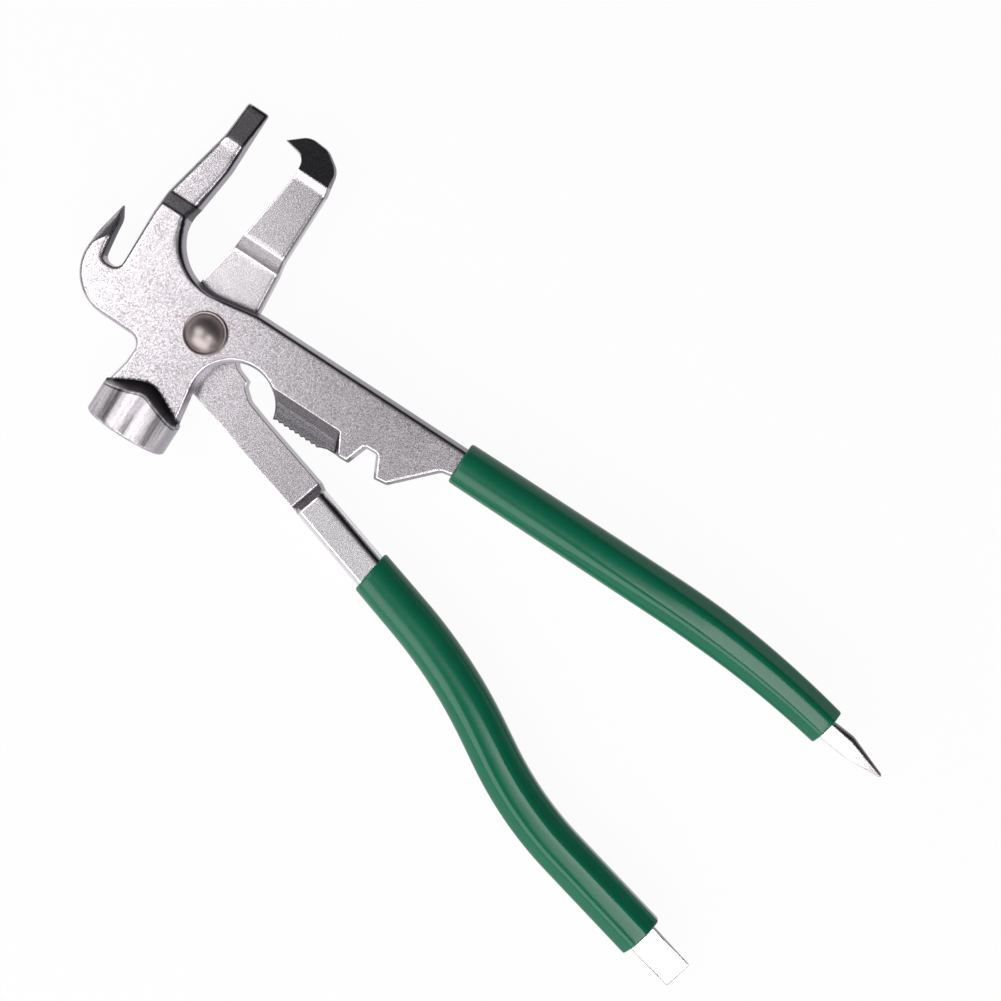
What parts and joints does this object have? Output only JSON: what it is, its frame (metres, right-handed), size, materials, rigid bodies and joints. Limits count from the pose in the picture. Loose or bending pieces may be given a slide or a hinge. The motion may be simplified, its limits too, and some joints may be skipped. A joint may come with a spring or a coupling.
{
  "type": "wheel weight pliers",
  "caption": "Long-handled tyre workshop pliers with a hooked jaw, a slotted claw, a round hammer and a toothed grip round one rivet, and a sleeve on each handle.",
  "frame": {"origin": "centre of the rivet's flat end, on the pivot axis", "axes": "+X along the straight handle away from the head, +Y towards the jaws, +Z towards the domed head of the rivet"},
  "size_m": [0.247, 0.1348, 0.0232],
  "materials": {
    "plated_steel": "satin plate over a fine blasted forging",
    "rivet_steel": "smooth plated dome",
    "sleeve_vinyl": "glossy dark green vinyl"
  },
  "bodies": {
    "hammer_side": {"hammer_lever": "plated_steel", "hammer_lever_grip": "sleeve_vinyl", "pivot_rivet": "rivet_steel"},
    "hook_side": {"hook_lever": "plated_steel", "hook_lever_grip": "sleeve_vinyl"}
  },
  "joints": [
    {"name": "pivot", "type": "hinge", "parent": "hammer_side", "child": "hook_side", "pos_m": [0, 0, 0.0083], "axis": [0, 0, 1], "range_deg": [-24, 7]}
  ]
}
